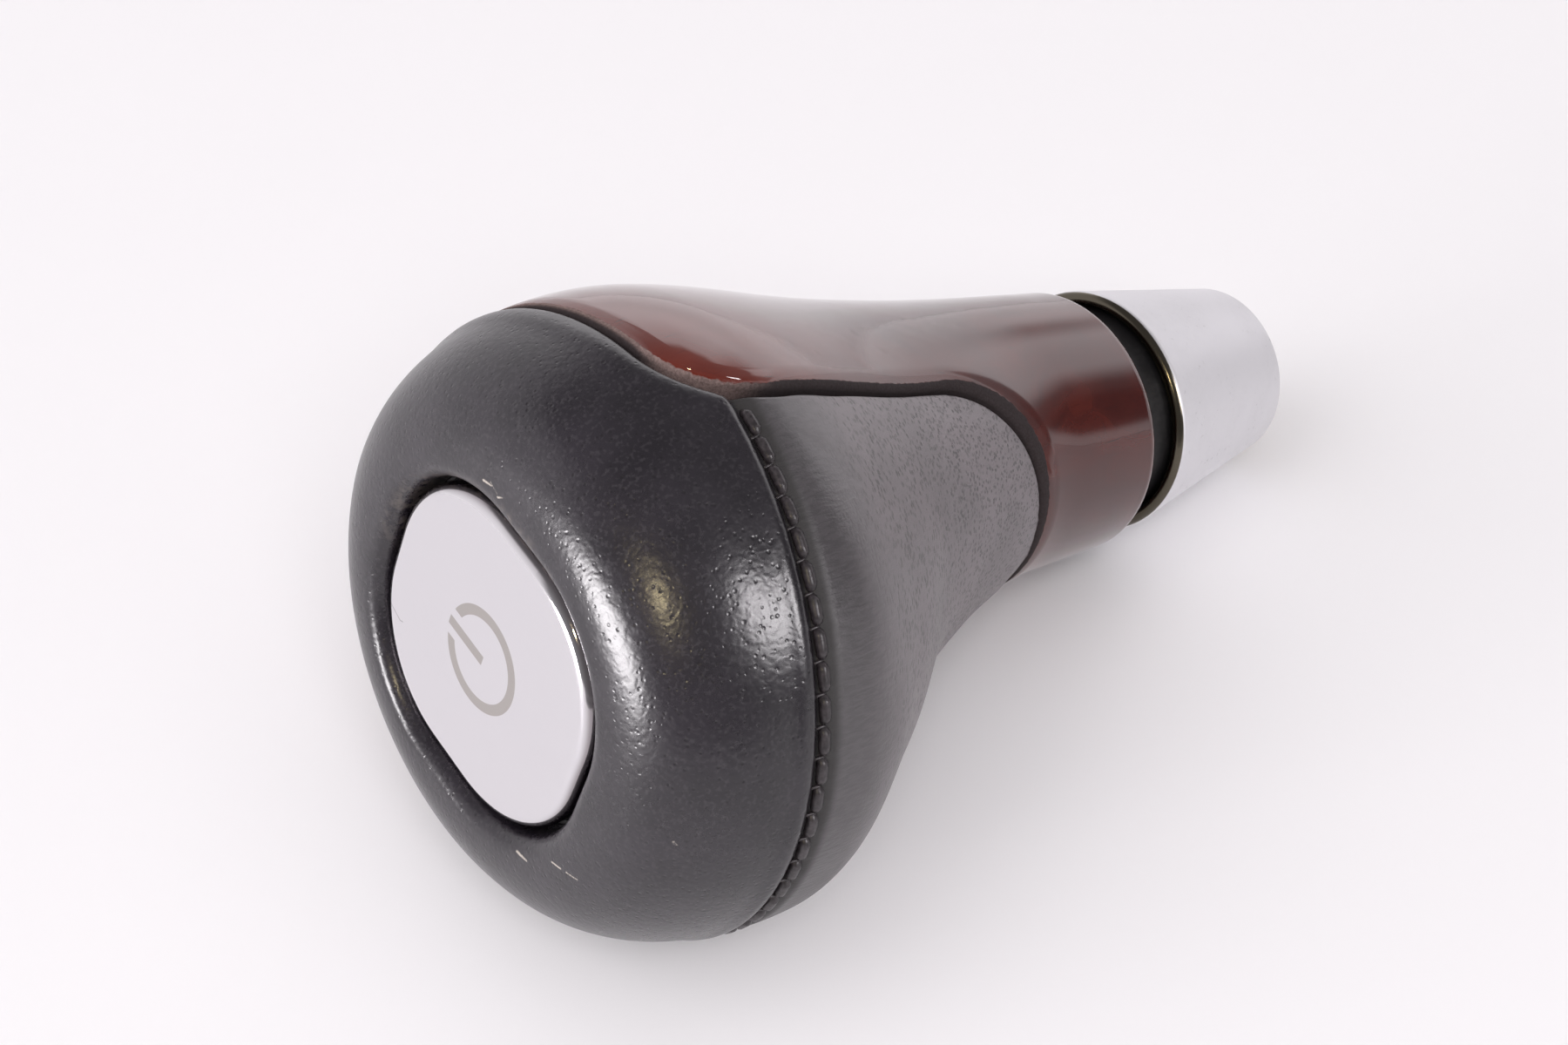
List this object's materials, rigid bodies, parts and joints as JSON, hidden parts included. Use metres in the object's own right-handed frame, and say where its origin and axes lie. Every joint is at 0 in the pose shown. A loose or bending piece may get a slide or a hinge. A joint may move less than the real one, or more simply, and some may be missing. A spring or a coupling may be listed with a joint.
{
  "type": "gear shift knob",
  "caption": "Gear shift knob with a sewn leather head, lacquered wood shell, push button in the crown and a chromed locking sleeve round the lever bore.",
  "frame": {"origin": "centre of the sleeve's lower end, where the gear lever enters the bore", "axes": "+Z along the gear lever up to the button, +Y towards the front of the car, +X to the right"},
  "size_m": [0.0586, 0.0608, 0.106],
  "materials": {
    "leather": "fine-grained black leather, satin",
    "wood": "dark red-brown wood under clear gloss lacquer",
    "satin_chrome": "satin chrome",
    "polished_chrome": "polished chrome",
    "black_plastic": "matt black moulded plastic",
    "steel": "plain spring steel",
    "brass": "turned brass",
    "board": "green solder mask",
    "silicone": "grey silicone",
    "lead_jacket": "black cable jacket"
  },
  "bodies": {
    "knob": {"leather_cap": "leather", "leather_skirt": "leather", "wood_shell": "wood", "knob_core": "black_plastic", "button_bezel": "black_plastic", "switch_carrier": "black_plastic", "neck_ring": "black_plastic", "contact_block": "black_plastic", "lead_socket": "black_plastic", "switch_body": "black_plastic", "carrier_screws": "steel", "spring_washer": "steel", "retaining_ring": "steel", "contact_pins": "brass", "lever_bush": "brass", "circuit_board": "board", "return_dome": "silicone", "switch_lead": "lead_jacket"},
    "button": {"button_cap": "polished_chrome", "button_slider": "black_plastic", "switch_plunger": "black_plastic"},
    "sleeve": {"chrome_sleeve": "satin_chrome", "locking_ring": "black_plastic"}
  },
  "joints": [
    {"name": "button_press", "type": "slide", "parent": "knob", "child": "button", "axis": [0, 0, -1], "range_m": [0, 0.0016], "stiffness_N_per_m": 2000, "springref_m": -0.0008, "deforming": ["return_dome"]},
    {"name": "sleeve_turn", "type": "hinge", "parent": "knob", "child": "sleeve", "pos_m": [0, 0, 0.011], "axis": [0, 0, 1], "range_deg": [0, 90]}
  ]
}
